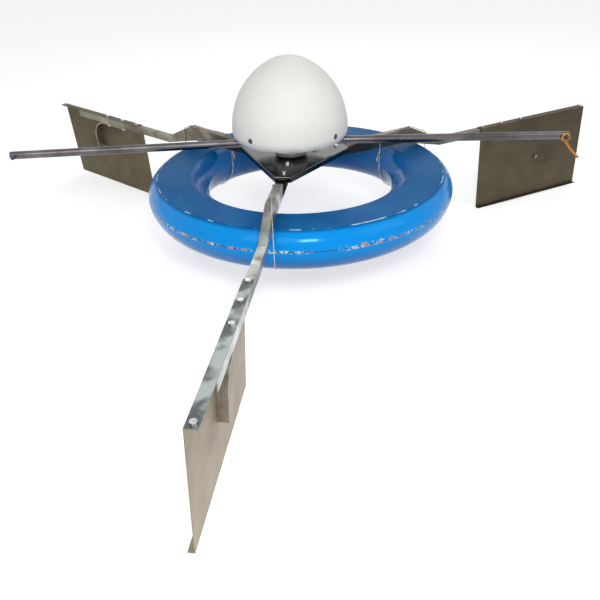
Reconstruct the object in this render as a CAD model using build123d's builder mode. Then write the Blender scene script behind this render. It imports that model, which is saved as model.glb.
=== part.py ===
from build123d import *
import math
import os

os.makedirs("parts", exist_ok=True)

# Water ploughing aerator: a slow three-armed rotor on a ring float, turned by a
# geared motor under a dome that two mooring tubes keep from turning.
# Millimetres, +Z up. The origin is on the rotor's axis, at the underside of the hub.
# X runs along the two mooring tubes.

# Fits and clearances
running_gap = 0.05
seat_gap = 0.3
bolt_gap = 0.4

# Rotor arms: folded channels that go over the ring float and down behind it
arm_count = 3
first_arm_turn = 21.8
arm_width = 24.0
arm_sheet = 2.5
arm_root_depth = 32.0
arm_depth = 24.0
neck_radius = 212.0
shoulder_margin = 10.0
shoulder_rise = 17.0
crest_inset = 50.0
crest_rise = 9.0
heel_margin = 75.0
heel_drop = 56.0
arm_end_radius = 1120.0
run_slope = 0.036
arch_inset = 72.0
arch_height = 15.0

# Blades: sheets hung on the outer arms, with a flange at the top and the bottom
blade_start = 752.0
blade_length = 487.0
blade_height = 306.0
blade_sheet = 2.0
blade_lean = 3.2
blade_foot = 15.0
blade_first_bolt = 13.0
blade_brace_bolt = 98.0
blade_third_bolt = 188.0
blade_last_bolt_margin = 13.0

# Braces: flat strips bent down from the arm to the middle of the blade
brace_start = 86.0
brace_reach = 283.0
brace_drop = 168.0
brace_sheet = 3.0
brace_bend = 70.0
brace_tab = 28.0

# Hub under the gearbox
hub_radius = 50.0
pan_top = 40.0
pan_sheet = 3.0
pan_corner_radius = 200.0
pan_corner_width = 48.0
pan_flange = 18.0
pan_bend = 4.0
pan_inner_bolt = 85.0
pan_outer_bolt = 165.0
hub_floor = 6.0
hub_bottom_round = 3.0

# Ring float
float_seam_height = -55.0
float_outer_radius = 500.0
float_inner_radius = 305.0
float_outer_shoulder = 34.0
float_inner_shoulder = 62.0
float_shift = 27.0
float_crown_height = 51.0
float_belly_depth = 88.0
float_belly_width = 20.0
float_wall = 4.0
float_shoulder_bulge = 8.0

# Wires that tie the ring float to the arms
wire_diameter = 2.6
wire_skew = 8.0
wire_side_gap = 3.5
wire_corner_bend = 8.0
wire_crest_bend = 14.0

# Output shaft and its bearings
shaft_radius = 12.5
shaft_top = 140.0
bearing_radius = 26.0
bearing_height = 15.0
bearing_race = 4.5
lower_bearing_height = 64.0
upper_bearing_height = 86.0
seal_radius = 22.0
seal_height = 7.0

# Gearbox housing below the dome
housing_radius = 62.0
housing_bottom = 62.0
bowl_bottom = 43.0
bowl_foot_radius = 40.0
bowl_bulge = 5.0
flange_radius = 95.0
flange_thickness = 6.0
deck_height = 103.0
housing_bolt_count = 6
housing_bolt_radius = 85.0

# Deck plate and dome
deck_sheet = 2.0
deck_rim_margin = 10.0
dome_rim_height = 103.0
dome_rim_inset = 12.0
dome_radius = 184.0
dome_widest_height = 130.0
dome_top = 346.0
dome_crown_radius = 135.0
dome_wall = 4.0
dome_screw_turn = 48.4
dome_screw_lift = 2.0
dome_screw_recess = 10.0
dome_screw_count = 4
dome_recess_depth = 2.7

# Gear reducer and motor inside the dome
reducer_radius = 72.0
reducer_height = 60.0
reducer_flange = 8.0
motor_radius = 60.0
motor_height = 110.0
motor_fin_count = 18
motor_fin_depth = 6.0
fan_cover_height = 28.0
motor_fin_sheet = 3.0
box_width = 64.0
box_depth = 34.0
box_height = 56.0

# Cable gland
gland_place = 130.0
gland_radius = 13.0
gland_step = 3.0
gland_length = 22.0

# Mooring tubes
tube_radius = 12.5
tube_wall = 1.6
tube_inner_end = 66.0
tube_reach = 905.0
tube_height = 86.0
tube_droop = 1.0
socket_radius = 16.5
socket_reach = 125.0
tube_bolt_place = 100.0
tube_eye_margin = 14.0
tube_cap = 3.0

# Rope end tied to the bolt at the right mooring tube
rope_diameter = 8.0
rope_slack = 2.0
rope_run = 24.0
rope_drops = (10.0, 7.0, 4.0, 2.0)
rope_drifts = (2.0, 3.0, 2.0, 0.0)

# Fasteners
m8_radius = 4.0
m8_head_width = 13.0
m8_head_height = 5.5
m10_radius = 5.0
m10_head_width = 17.0
m10_head_height = 7.0
thread_share = 1.3
dome_screw_radius = 4.0
dome_screw_head = 7.5
dome_screw_head_height = 2.5
dome_screw_socket = 3.0
dome_screw_length = 12.0

# Places that follow from the sizes above
arm_turns = [first_arm_turn + 360.0 / arm_count * k for k in range(arm_count)]
arm_names = ("right", "left", "front")
arm_top_root = pan_top - pan_sheet
shoulder_radius = float_inner_radius - shoulder_margin
crest_radius = float_outer_radius - crest_inset
heel_radius = float_outer_radius + heel_margin
arch_radius = float_outer_radius - arch_inset
blade_last_bolt = blade_length - blade_last_bolt_margin
arm_bolt_places = (blade_first_bolt, blade_brace_bolt, blade_third_bolt)
blade_bolt_places = (*arm_bolt_places, blade_last_bolt)
pan_bolt_radii = (pan_inner_bolt, pan_outer_bolt)
shoulder_height = arm_top_root + shoulder_rise
crest_height = shoulder_height + crest_rise
heel_height = crest_height - heel_drop
arm_root_radius = hub_radius + seat_gap
run_angle = math.degrees(math.atan(run_slope))


def run_height(radius):
    """Height of the arm's top face on its outer run."""
    return heel_height + run_slope * (radius - heel_radius)


def around(turn, radius, height, aside=0.0):
    """A point given by its turn about the axis, radius, height and step to the left."""
    angle = math.radians(turn)
    return (
        radius * math.cos(angle) - aside * math.sin(angle),
        radius * math.sin(angle) + aside * math.cos(angle),
        height,
    )


def side_plane(turn):
    """The upright plane through an arm: x outward, y up."""
    angle = math.radians(turn)
    return Plane(
        origin=(0, 0, 0),
        x_dir=(math.cos(angle), math.sin(angle), 0),
        z_dir=(math.sin(angle), -math.cos(angle), 0),
    )


def run_plane(turn, place, lift=0.0):
    """A plane on the arm's outer run, normal to its top face, at a place along the blade."""
    radius = blade_start + place * math.cos(math.radians(run_angle))
    base = side_plane(turn)
    along = base.x_dir.rotate(Axis((0, 0, 0), base.z_dir), run_angle)
    normal = Vector(0, 0, 1).rotate(Axis((0, 0, 0), base.z_dir), run_angle)
    origin = Vector(*around(turn, radius, run_height(radius))) + normal * lift
    return Plane(origin=origin, x_dir=along, z_dir=normal)


def blade_plane(turn):
    """The blade's inner face at its top: x along the run, y up the blade, z away from the arm."""
    top = run_plane(turn, 0.0)
    corner = top.origin - top.y_dir * (arm_width / 2 + seat_gap)
    outward = (top.y_dir * -1).rotate(Axis((0, 0, 0), top.x_dir), -blade_lean)
    return Plane(origin=corner, x_dir=top.x_dir, z_dir=outward)


def bolt_shape(head_width, head_height, radius, grip, nut=True):
    """A hexagon bolt down from the origin, with its head above and its nut below the grip."""
    with BuildPart() as bolt:
        with BuildSketch():
            RegularPolygon(head_width / 2, 6, major_radius=False)
        extrude(amount=head_height)
        with BuildSketch():
            Circle(radius)
        extrude(amount=-grip - head_height * thread_share)
        if nut:
            with BuildSketch(Plane.XY.offset(-grip)):
                RegularPolygon(head_width / 2, 6, major_radius=False)
            extrude(amount=-head_height)
    return bolt.part


def group_of(label, solids):
    """One node of several separate pieces."""
    group = Compound(children=[Solid(solid.solid().wrapped) for solid in solids])
    group.label = label
    export_step(group, f"parts/{label}.step")
    return group


def set_at(plane, shape):
    """A copy of a shape, moved from the origin onto a plane."""
    return plane.location * shape


# Rotor: hub with the blind bore that the output shaft stands in
with BuildPart() as hub:
    with BuildSketch():
        Circle(hub_radius)
    extrude(amount=arm_top_root)
    fillet(hub.edges().group_by(Axis.Z)[0], hub_bottom_round)
    with BuildSketch(Plane.XY.offset(hub_floor)):
        Circle(shaft_radius + running_gap)
    extrude(amount=arm_top_root, mode=Mode.SUBTRACT)
hub.part.label = "hub"
export_step(hub.part, "parts/hub.step")


# Hub pan: a three-cornered sheet with its edges folded down, and its corners open for the arms
def pan_corners(inset):
    half = pan_corner_width / 2 - inset * 0.5
    ends = []
    for turn in arm_turns:
        for aside in (-half, half):
            ends.append(around(turn, pan_corner_radius - inset, 0, aside)[:2])
    return ends


with BuildPart() as hub_pan:
    with BuildSketch(Plane.XY.offset(pan_top - pan_flange)):
        with BuildLine():
            Polyline(*pan_corners(0), close=True)
        make_face()
    extrude(amount=pan_flange)
    fillet(hub_pan.edges().group_by(Axis.Z)[-1], pan_bend)
    with BuildSketch(Plane.XY.offset(pan_top - pan_flange)):
        with BuildLine():
            Polyline(*pan_corners(0), close=True)
        make_face()
        offset(amount=-pan_sheet, kind=Kind.INTERSECTION, mode=Mode.REPLACE)
    extrude(amount=pan_flange - pan_sheet, mode=Mode.SUBTRACT)
    with BuildSketch(Plane.XY.offset(pan_top)):
        Circle(seal_radius)
    extrude(amount=-pan_sheet, mode=Mode.SUBTRACT)
    for turn in arm_turns:
        with BuildSketch(side_plane(turn)):
            with Locations((pan_corner_radius, arm_top_root - arm_root_depth / 2)):
                Rectangle(pan_corner_width * 2, arm_root_depth)
        extrude(amount=arm_width / 2 + seat_gap, both=True, mode=Mode.SUBTRACT)
        with BuildSketch(Plane.XY.offset(pan_top)):
            with Locations(*[around(turn, place, 0)[:2] for place in pan_bolt_radii]):
                Circle(m8_radius + bolt_gap)
        extrude(amount=-pan_sheet, mode=Mode.SUBTRACT)
hub_pan.part.label = "hub_pan"
export_step(hub_pan.part, "parts/hub_pan.step")


# Arms: a channel folded from sheet, open below, that climbs over the ring float
def arm_top_line(drop):
    """The top of the arm from the hub outward, lowered by a distance."""
    return [
        (arm_root_radius, arm_top_root - drop),
        (neck_radius, arm_top_root - drop),
        (shoulder_radius, shoulder_height - drop),
        (crest_radius, crest_height - drop),
        (heel_radius, heel_height - drop),
        (arm_end_radius, run_height(arm_end_radius) - drop),
    ]


arm_under_line = [
    (arm_end_radius, run_height(arm_end_radius) - arm_depth),
    (heel_radius, heel_height - arm_depth),
    (arch_radius, arch_height),
    (arm_root_radius, arm_top_root - arm_root_depth),
]
for turn, name in zip(arm_turns, arm_names):
    with BuildPart() as arm:
        with BuildSketch(side_plane(turn)):
            with BuildLine():
                Polyline(*arm_top_line(0), *arm_under_line, close=True)
            make_face()
        extrude(amount=arm_width / 2, both=True)
        with BuildSketch(side_plane(turn)):
            with BuildLine():
                hollow_floor = [(r, z - arm_depth) for r, z in arm_under_line]
                Polyline(*arm_top_line(arm_sheet), *hollow_floor, close=True)
            make_face()
        extrude(amount=arm_width / 2 - arm_sheet, both=True, mode=Mode.SUBTRACT)
        with BuildSketch(Plane.XY.offset(arm_top_root)):
            with Locations(*[around(turn, place, 0)[:2] for place in pan_bolt_radii]):
                Circle(m8_radius + bolt_gap)
        extrude(amount=-arm_sheet, mode=Mode.SUBTRACT)
        for place in arm_bolt_places:
            with BuildSketch(run_plane(turn, place)):
                Circle(m8_radius + bolt_gap)
            extrude(amount=-arm_sheet * 2, mode=Mode.SUBTRACT)
    arm.part.label = f"{name}_arm"
    export_step(arm.part, f"parts/{name}_arm.step")

# Blades: the top flange lies on the arm, the bottom flange is folded away from it
def blade_face(height):
    """How far the blade's inner face stands beside the arm's middle at a height."""
    return -arm_width / 2 - seat_gap + height * math.tan(math.radians(blade_lean))


blade_across = blade_sheet / math.cos(math.radians(blade_lean))
foot_top = blade_sheet - blade_height
blade_section = [
    (arm_width / 2, 0),
    (arm_width / 2, blade_sheet),
    (blade_face(blade_sheet) - blade_across, blade_sheet),
    (blade_face(foot_top) - blade_across, foot_top),
    (blade_face(-blade_height) - blade_foot, foot_top),
    (blade_face(-blade_height) - blade_foot, -blade_height),
    (blade_face(-blade_height), -blade_height),
    (blade_face(0), 0),
]
brace_bolt_place = brace_reach - brace_tab / 2
brace_bolt_drop = brace_drop - brace_tab / 2
for turn, name in zip(arm_turns, arm_names):
    top = run_plane(turn, 0.0)
    with BuildPart() as blade:
        with BuildSketch(Plane(origin=top.origin, x_dir=top.y_dir, z_dir=top.x_dir)):
            with BuildLine():
                Polyline(*blade_section, close=True)
            make_face()
        extrude(amount=blade_length)
        for place in blade_bolt_places:
            with BuildSketch(run_plane(turn, place)):
                Circle(m8_radius + bolt_gap)
            extrude(amount=blade_sheet, mode=Mode.SUBTRACT)
        with BuildSketch(blade_plane(turn)):
            with Locations((brace_bolt_place, -brace_bolt_drop)):
                Circle(m8_radius + bolt_gap)
        extrude(amount=blade_sheet * 2, both=True, mode=Mode.SUBTRACT)
    blade.part.label = f"{name}_blade"
    export_step(blade.part, f"parts/{name}_blade.step")

# Braces: a strip under the arm, bent down beside the blade and bolted to it by a folded tab
brace_top = arm_depth + seat_gap + brace_sheet
for turn, name in zip(arm_turns, arm_names):
    face = blade_plane(turn).offset(-seat_gap)
    with BuildPart() as brace:
        with BuildSketch(face):
            with BuildLine():
                FilletPolyline(
                    (brace_start, -brace_top),
                    (brace_reach, -brace_top),
                    (brace_reach, -brace_drop),
                    radius=brace_bend,
                )
                offset(amount=brace_sheet, side=Side.LEFT)
            make_face()
        extrude(amount=-arm_width)
        with BuildSketch(face):
            with Locations((brace_bolt_place, -brace_bolt_drop)):
                Rectangle(brace_tab + brace_sheet, brace_tab)
        extrude(amount=-brace_sheet)
        with BuildSketch(face):
            with Locations((brace_bolt_place, -brace_bolt_drop)):
                Circle(m8_radius + bolt_gap)
        extrude(amount=-brace_sheet, mode=Mode.SUBTRACT)
        for place in (blade_brace_bolt, blade_third_bolt):
            with BuildSketch(run_plane(turn, place, -arm_depth)):
                Circle(m8_radius + bolt_gap)
            extrude(amount=-brace_top, mode=Mode.SUBTRACT)
    brace.part.label = f"{name}_brace"
    export_step(brace.part, f"parts/{name}_brace.step")

# Bolts of the rotor: short ones hold the blade, long ones take the brace as well
short_bolt = bolt_shape(m8_head_width, m8_head_height, m8_radius, blade_sheet + arm_sheet)
end_bolt = bolt_shape(m8_head_width, m8_head_height, m8_radius, blade_sheet)
long_grip = blade_sheet + brace_top + arm_width * math.sin(math.radians(blade_lean))
long_bolt = bolt_shape(m8_head_width, m8_head_height, m8_radius, long_grip)
blade_bolts = []
for turn in arm_turns:
    for place in blade_bolt_places:
        kind = long_bolt
        if place == blade_first_bolt:
            kind = short_bolt
        if place == blade_last_bolt:
            kind = end_bolt
        blade_bolts.append(set_at(run_plane(turn, place, blade_sheet), kind))
group_of("blade_bolts", blade_bolts)

brace_grip = brace_sheet + seat_gap + blade_sheet
brace_bolt = bolt_shape(m8_head_width, m8_head_height, m8_radius, brace_grip)
brace_bolts = []
for turn in arm_turns:
    face = blade_plane(turn)
    centre = face.from_local_coords((brace_bolt_place, -brace_bolt_drop, -seat_gap - brace_sheet))
    inward = Plane(origin=centre, x_dir=face.x_dir, z_dir=face.z_dir * -1)
    brace_bolts.append(set_at(inward, brace_bolt))
group_of("brace_bolts", brace_bolts)

pan_bolt = bolt_shape(m8_head_width, m8_head_height, m8_radius, pan_sheet + arm_sheet)
pan_bolts = []
for turn in arm_turns:
    for place in pan_bolt_radii:
        pan_bolts.append(set_at(Plane(origin=around(turn, place, pan_top)), pan_bolt))
group_of("pan_bolts", pan_bolts)


# Ring float: a moulded shell, flat on top and round below, filled with foam.
# It hangs in its tie wires a little to the right of the rotor's axis.
float_middle = (float_outer_radius + float_inner_radius) / 2
float_half = (float_outer_radius - float_inner_radius) / 2
float_bottom = float_seam_height - float_belly_depth
float_round = min(float_belly_depth, float_half - float_belly_width / 2)
float_axis = Axis((float_shift, 0, 0), (0, 0, 1))


def float_section(inset):
    """The section of the ring, shrunk by an inset on all sides."""
    crown = float_seam_height + float_crown_height
    crown_outer = float_outer_radius - float_outer_shoulder
    crown_inner = float_inner_radius + float_inner_shoulder
    outer_seam = (float_outer_radius, float_seam_height)
    inner_seam = (float_inner_radius, float_seam_height)
    with BuildSketch(Plane.XZ.shift_origin((float_shift, 0, 0))) as section:
        with BuildLine():
            Line((crown_inner, crown), (crown_outer, crown))
            SagittaArc((crown_outer, crown), outer_seam, float_shoulder_bulge)
            FilletPolyline(
                outer_seam,
                (float_outer_radius, float_bottom),
                (float_inner_radius, float_bottom),
                inner_seam,
                radius=float_round,
            )
            SagittaArc(inner_seam, (crown_inner, crown), float_shoulder_bulge)
        make_face()
        if inset:
            offset(amount=-inset, mode=Mode.REPLACE)
    return section.sketch


with BuildPart() as float_core:
    add(float_section(float_wall))
    revolve(axis=float_axis)

with BuildPart() as float_shell:
    add(float_section(0))
    revolve(axis=float_axis)
    add(float_core.part, mode=Mode.SUBTRACT)
float_shell.part.label = "float_shell"
export_step(float_shell.part, "parts/float_shell.step")

with BuildPart() as float_foam:
    add(float_section(float_wall + seat_gap))
    revolve(axis=float_axis)
float_foam.part.label = "float_foam"
export_step(float_foam.part, "parts/float_foam.step")

# Tie wires: each loops round the ring and slantwise over its arm
wire_lift = wire_diameter / 2 + seat_gap
wire_side = float_half + wire_side_gap + wire_lift
wire_floor = float_bottom - wire_lift


def arm_height(radius):
    """Height of the arm's top face where it passes over the ring."""
    if radius < crest_radius:
        share = (radius - shoulder_radius) / (crest_radius - shoulder_radius)
        return shoulder_height + share * (crest_height - shoulder_height)
    share = (radius - crest_radius) / (heel_radius - crest_radius)
    return crest_height - share * heel_drop


for turn, name in zip(arm_turns, arm_names):
    shift_along = float_shift * math.cos(math.radians(turn))
    shift_aside = float_shift * math.sin(math.radians(turn))
    crossing = shift_along + math.sqrt(float_middle**2 - shift_aside**2)
    across = side_plane(turn + wire_skew)
    loop_plane = Plane(
        origin=around(turn, crossing, 0), x_dir=across.x_dir, z_dir=across.z_dir
    )
    with BuildPart() as wire:
        with BuildLine(loop_plane):
            loop = FilletPolyline(
                (-wire_side, arm_height(crossing - wire_side) + 2 * wire_lift),
                (crest_radius - crossing, crest_height + 2 * wire_lift),
                (wire_side, arm_height(crossing + wire_side) + 3 * wire_lift),
                (wire_side, wire_floor),
                (-wire_side, wire_floor),
                radius=(
                    wire_corner_bend,
                    wire_crest_bend,
                    wire_corner_bend,
                    float_round + wire_lift,
                    float_round + wire_lift,
                ),
                close=True,
            )
        with BuildSketch(Plane(origin=loop @ 0, z_dir=loop % 0)):
            Circle(wire_diameter / 2)
        sweep(path=loop)
    wire.part.label = f"{name}_tie_wire"
    export_step(wire.part, f"parts/{name}_tie_wire.step")

# Output shaft, standing in the hub
with BuildPart() as shaft:
    with BuildSketch(Plane.XY.offset(hub_floor)):
        Circle(shaft_radius)
    extrude(amount=shaft_top - hub_floor)
    chamfer(shaft.edges().group_by(Axis.Z)[-1], running_gap * 20)
shaft.part.label = "output_shaft"
export_step(shaft.part, "parts/output_shaft.step")


# Stator: the plane of a mooring tube, whose z runs out along the tube
def tube_plane(side, place=0.0):
    droop = math.radians(tube_droop)
    out = Vector(side * math.cos(droop), 0, -math.sin(droop))
    return Plane(origin=Vector(0, 0, tube_height) + out * place, x_dir=(0, 1, 0), z_dir=out)


def tube_side_plane(side, place, lift=0.0):
    """A plane that looks down on a mooring tube, lifted square from its middle line."""
    line = tube_plane(side, place)
    upward = Vector(0, 1, 0).cross(line.z_dir * -side)
    return Plane(origin=line.origin + upward * lift, x_dir=line.z_dir, z_dir=upward)


sides = (("right", 1), ("left", -1))

# Gearbox housing with a socket on each side for the mooring tubes
with BuildPart() as housing:
    with BuildSketch(Plane.XY.offset(housing_bottom)):
        Circle(housing_radius)
    extrude(amount=deck_height - housing_bottom)
    with BuildSketch(Plane.XY.offset(deck_height - flange_thickness)):
        Circle(flange_radius)
    extrude(amount=flange_thickness)
    for name, side in sides:
        with BuildSketch(tube_plane(side, bearing_radius)):
            Circle(socket_radius)
        extrude(amount=socket_reach - bearing_radius)
    with BuildSketch(Plane.XY.offset(deck_height)):
        with PolarLocations(housing_bolt_radius, housing_bolt_count, 180 / housing_bolt_count):
            Circle(m8_radius + bolt_gap)
    extrude(amount=-flange_thickness, mode=Mode.SUBTRACT)
    with BuildSketch(Plane.XY.offset(housing_bottom)):
        Circle(bearing_radius + seat_gap)
    extrude(amount=deck_height - housing_bottom, mode=Mode.SUBTRACT)
    for name, side in sides:
        with BuildSketch(tube_plane(side, tube_inner_end - seat_gap)):
            Circle(tube_radius + seat_gap)
        extrude(amount=socket_reach, mode=Mode.SUBTRACT)
        with BuildSketch(tube_side_plane(side, tube_bolt_place)):
            Circle(m10_radius + bolt_gap)
        extrude(amount=socket_radius + seat_gap, both=True, mode=Mode.SUBTRACT)
housing.part.label = "gearbox_housing"
export_step(housing.part, "parts/gearbox_housing.step")

# Bearing cover: the rounded bowl under the housing, which carries the shaft seal
with BuildPart() as cover:
    with BuildSketch(Plane.XZ):
        with BuildLine():
            Line((seal_radius + seat_gap, bowl_bottom), (bowl_foot_radius, bowl_bottom))
            SagittaArc((bowl_foot_radius, bowl_bottom), (housing_radius, housing_bottom), -bowl_bulge)
            Line((housing_radius, housing_bottom), (seal_radius + seat_gap, housing_bottom))
            Line((seal_radius + seat_gap, housing_bottom), (seal_radius + seat_gap, bowl_bottom))
        make_face()
    revolve(axis=Axis.Z)
cover.part.label = "bearing_cover"
export_step(cover.part, "parts/bearing_cover.step")

# Bearings: an outer and an inner ring each, with the shaft running in the inner one
bearings = []
for height in (lower_bearing_height, upper_bearing_height):
    for outer, inner in (
        (bearing_radius, bearing_radius - bearing_race),
        (bearing_radius - bearing_race - seat_gap, shaft_radius + running_gap),
    ):
        with BuildPart() as race:
            with BuildSketch(Plane.XY.offset(height)):
                Circle(outer)
                Circle(inner, mode=Mode.SUBTRACT)
            extrude(amount=bearing_height)
        bearings.append(race.part)
group_of("shaft_bearings", bearings)

with BuildPart() as seal:
    with BuildSketch(Plane.XY.offset(bowl_bottom + bolt_gap)):
        Circle(seal_radius)
        Circle(shaft_radius + running_gap, mode=Mode.SUBTRACT)
    extrude(amount=seal_height)
seal.part.label = "shaft_seal"
export_step(seal.part, "parts/shaft_seal.step")

# Dome cover and deck plate meet in one round edge, the dome's edge over the deck's
dome_rise = dome_top - dome_widest_height
crown_lift = dome_rise - dome_crown_radius
crown_slack = 2 * (dome_radius - dome_crown_radius)
side_radius = (crown_lift**2 + dome_radius**2 - dome_crown_radius**2) / crown_slack
side_centre = (dome_radius - side_radius, dome_widest_height)
crown_centre = (0, dome_top - dome_crown_radius)
side_sweep = math.degrees(math.atan2(crown_lift, side_radius - dome_radius))
edge_drop = dome_widest_height - dome_rim_height
edge_radius = (edge_drop**2 + dome_rim_inset**2) / (2 * dome_rim_inset)
edge_centre = (dome_radius - edge_radius, dome_widest_height)
edge_sweep = math.degrees(math.asin(edge_drop / edge_radius))
screw_height = dome_widest_height + dome_screw_lift
screw_seat_radius = dome_radius - dome_recess_depth
deck_radius = dome_radius - dome_wall - seat_gap
deck_top = deck_height + deck_sheet


def screw_planes(radius):
    """Planes that look outward where the dome's screws stand, at a radius."""
    planes = []
    for k in range(dome_screw_count):
        turn = dome_screw_turn + k * 360 / dome_screw_count
        planes.append(Plane(origin=around(turn, radius, screw_height), z_dir=around(turn, 1, 0)))
    return planes


# Deck plate: a dish that closes the dome from below
with BuildPart() as deck:
    with BuildSketch(Plane.XZ):
        with BuildLine():
            turn_in = edge_radius - dome_wall - seat_gap
            sweep_in = math.degrees(math.asin((dome_widest_height - deck_height) / turn_in))
            foot = edge_centre[0] + turn_in * math.cos(math.radians(sweep_in))
            Line((0, deck_height), (foot, deck_height))
            CenterArc(edge_centre, turn_in, -sweep_in, sweep_in)
            Line((deck_radius, dome_widest_height), (deck_radius, screw_height + deck_rim_margin))
            offset(amount=deck_sheet, side=Side.LEFT)
        make_face()
    revolve(axis=Axis.Z)
    with BuildSketch(Plane.XY.offset(deck_height)):
        Circle(bearing_radius)
        with PolarLocations(housing_bolt_radius, housing_bolt_count, 180 / housing_bolt_count):
            Circle(m8_radius + bolt_gap)
        with Locations((0, gland_place)):
            Circle(gland_radius - gland_step)
    extrude(amount=deck_sheet, mode=Mode.SUBTRACT)
    for plane in screw_planes(deck_radius - dome_screw_length):
        with BuildSketch(plane):
            Circle(dome_screw_radius + bolt_gap)
        extrude(amount=dome_screw_length * 2, mode=Mode.SUBTRACT)
deck.part.label = "deck_plate"
export_step(deck.part, "parts/deck_plate.step")

# Dome cover: an egg-shaped moulding, drawn in at its edge, with a recess for each screw
with BuildPart() as dome:
    with BuildSketch(Plane.XZ):
        with BuildLine():
            for wall in (0, dome_wall):
                CenterArc(edge_centre, edge_radius - wall, -edge_sweep, edge_sweep)
                CenterArc(side_centre, side_radius - wall, 0, side_sweep)
                CenterArc(crown_centre, dome_crown_radius - wall, side_sweep, 90 - side_sweep)
            Line((0, dome_top), (0, dome_top - dome_wall))
            edge_tilt = math.radians(-edge_sweep)
            rim_inner = (
                edge_centre[0] + (edge_radius - dome_wall) * math.cos(edge_tilt),
                edge_centre[1] + (edge_radius - dome_wall) * math.sin(edge_tilt),
            )
            Line((dome_radius - dome_rim_inset, dome_rim_height), rim_inner)
        make_face()
    revolve(axis=Axis.Z)
    for seat, start in zip(
        screw_planes(screw_seat_radius), screw_planes(deck_radius - dome_screw_length)
    ):
        with BuildSketch(seat):
            Circle(dome_screw_recess)
        extrude(amount=dome_wall, mode=Mode.SUBTRACT)
        with BuildSketch(start):
            Circle(dome_screw_radius + bolt_gap)
        extrude(amount=dome_screw_length * 2, mode=Mode.SUBTRACT)
dome.part.label = "dome_cover"
export_step(dome.part, "parts/dome_cover.step")

with BuildPart() as screw:
    with BuildSketch():
        Circle(dome_screw_head)
    extrude(amount=dome_screw_head_height)
    fillet(screw.edges().group_by(Axis.Z)[-1], dome_screw_head_height * 0.6)
    with BuildSketch(Plane.XY.offset(dome_screw_head_height)):
        RegularPolygon(dome_screw_socket, 6, major_radius=False)
    extrude(amount=-dome_screw_head_height / 2, mode=Mode.SUBTRACT)
    with BuildSketch():
        Circle(dome_screw_radius)
    extrude(amount=-dome_screw_length)
group_of("dome_screws", [set_at(seat, screw.part) for seat in screw_planes(screw_seat_radius)])

# Gear reducer, bolted through the deck plate to the housing
reducer_top = deck_top + reducer_height
with BuildPart() as reducer:
    with BuildSketch(Plane.XY.offset(deck_top)):
        Circle(flange_radius)
    extrude(amount=reducer_flange)
    with BuildSketch(Plane.XY.offset(deck_top)):
        Circle(reducer_radius)
    extrude(amount=reducer_height)
    chamfer(reducer.edges().group_by(Axis.Z)[-1], reducer_flange / 2)
    with BuildSketch(Plane.XY.offset(deck_top)):
        with PolarLocations(housing_bolt_radius, housing_bolt_count, 180 / housing_bolt_count):
            Circle(m8_radius + bolt_gap)
    extrude(amount=reducer_flange, mode=Mode.SUBTRACT)
    with BuildSketch(Plane.XY.offset(deck_top)):
        Circle(shaft_radius + running_gap)
    extrude(amount=shaft_top - deck_top + seat_gap, mode=Mode.SUBTRACT)
reducer.part.label = "gear_reducer"
export_step(reducer.part, "parts/gear_reducer.step")

housing_grip = reducer_flange + deck_sheet + flange_thickness
housing_bolt = bolt_shape(m8_head_width, m8_head_height, m8_radius, housing_grip)
housing_bolts = []
for k in range(housing_bolt_count):
    turn = (k + 0.5) * 360 / housing_bolt_count
    seat = Plane(origin=around(turn, housing_bolt_radius, deck_top + reducer_flange))
    housing_bolts.append(set_at(seat, housing_bolt))
group_of("housing_bolts", housing_bolts)

# Motor with cooling ribs, its fan cover and its terminal box
with BuildPart() as motor:
    with BuildSketch(Plane.XY.offset(reducer_top)):
        Circle(motor_radius)
        with PolarLocations(motor_radius, motor_fin_count, 180 / motor_fin_count):
            Rectangle(motor_fin_depth * 2, motor_fin_sheet)
    extrude(amount=motor_height)
    with BuildSketch(Plane.XY.offset(reducer_top)):
        Circle(reducer_radius - reducer_flange)
    extrude(amount=reducer_flange)
motor.part.label = "motor"
export_step(motor.part, "parts/motor.step")

motor_top = reducer_top + motor_height
with BuildPart() as fan_cover:
    with BuildSketch(Plane.XY.offset(motor_top)):
        Circle(motor_radius + motor_fin_depth)
    extrude(amount=fan_cover_height)
    fillet(fan_cover.edges().group_by(Axis.Z)[-1], motor_fin_depth)
fan_cover.part.label = "motor_fan_cover"
export_step(fan_cover.part, "parts/motor_fan_cover.step")

with BuildPart() as terminal_box:
    with BuildSketch(Plane.XY.offset(reducer_top + reducer_flange * 2)):
        with Locations((0, motor_radius + motor_fin_depth + seat_gap + box_depth / 2)):
            RectangleRounded(box_width, box_depth, motor_fin_depth)
    extrude(amount=box_height)
terminal_box.part.label = "terminal_box"
export_step(terminal_box.part, "parts/terminal_box.step")

# Cable gland under the deck plate, at the back
with BuildPart() as gland:
    with BuildSketch(Plane.XY.offset(deck_height)):
        with Locations((0, gland_place)):
            RegularPolygon(gland_radius, 6, major_radius=False)
    extrude(amount=-gland_step * 2)
    with BuildSketch(Plane.XY.offset(deck_height)):
        with Locations((0, gland_place)):
            Circle(gland_radius - gland_step)
    extrude(amount=-gland_length)
    with BuildSketch(Plane.XY.offset(deck_height)):
        with Locations((0, gland_place)):
            Circle(gland_radius - gland_step - seat_gap)
    extrude(amount=gland_step * 2)
gland.part.label = "cable_gland"
export_step(gland.part, "parts/cable_gland.step")

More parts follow.
